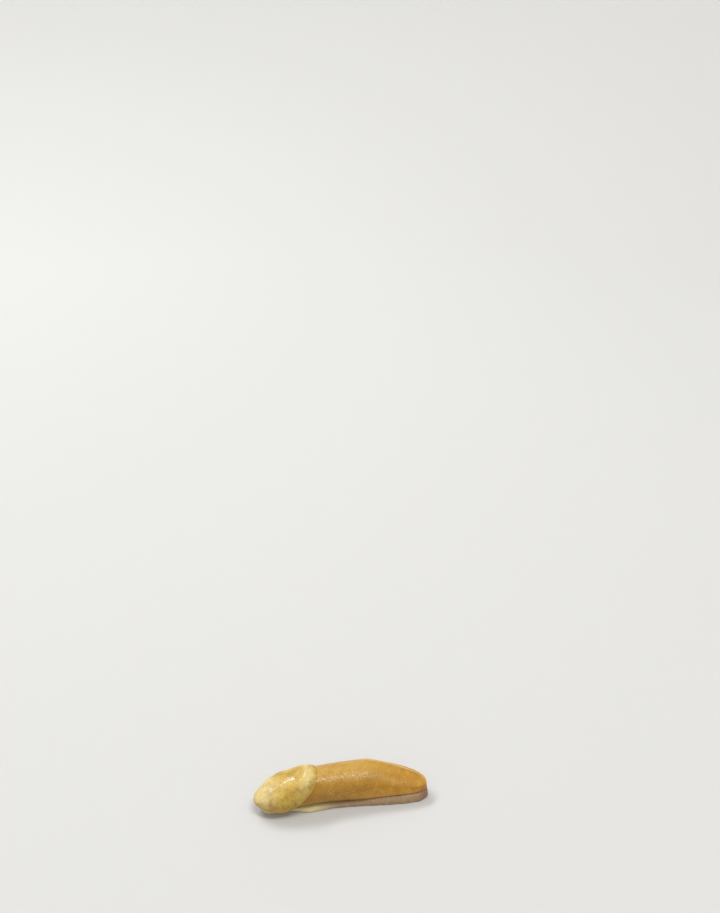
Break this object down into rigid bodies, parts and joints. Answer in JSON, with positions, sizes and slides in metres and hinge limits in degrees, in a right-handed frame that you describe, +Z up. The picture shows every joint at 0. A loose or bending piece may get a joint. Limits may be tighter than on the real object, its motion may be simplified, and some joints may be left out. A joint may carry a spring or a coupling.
{
  "type": "banana slug",
  "caption": "Life-size banana slug at rest, its head drawn in under the mantle, lying on its flat sole.",
  "frame": {"origin": "middle of the bounding box at the level of the sole", "axes": "+Y towards the tail, +X towards the animal's left side, +Z up; the sole stands on z = 0"},
  "size_m": [0.0283, 0.0999, 0.0206],
  "materials": {
    "mantle_skin": "wet, finely grained yellow skin",
    "back_skin": "wet ochre skin with long tubercles",
    "foot_skin": "wet grey-brown fringe with fine upright grooves",
    "head_skin": "wet, wrinkled olive skin",
    "eye": "glossy black"
  },
  "bodies": {
    "root": {"mantle": "mantle_skin", "shoulders": "back_skin", "back_front": "back_skin", "back_rear": "back_skin", "tail": "back_skin", "foot_front": "foot_skin", "foot_middle": "foot_skin", "foot_rear": "foot_skin", "head": "head_skin", "tentacle_upper_left": "head_skin", "tentacle_upper_right": "head_skin", "tentacle_lower_left": "head_skin", "tentacle_lower_right": "head_skin", "eye_left": "eye", "eye_right": "eye"}
  },
  "joints": []
}
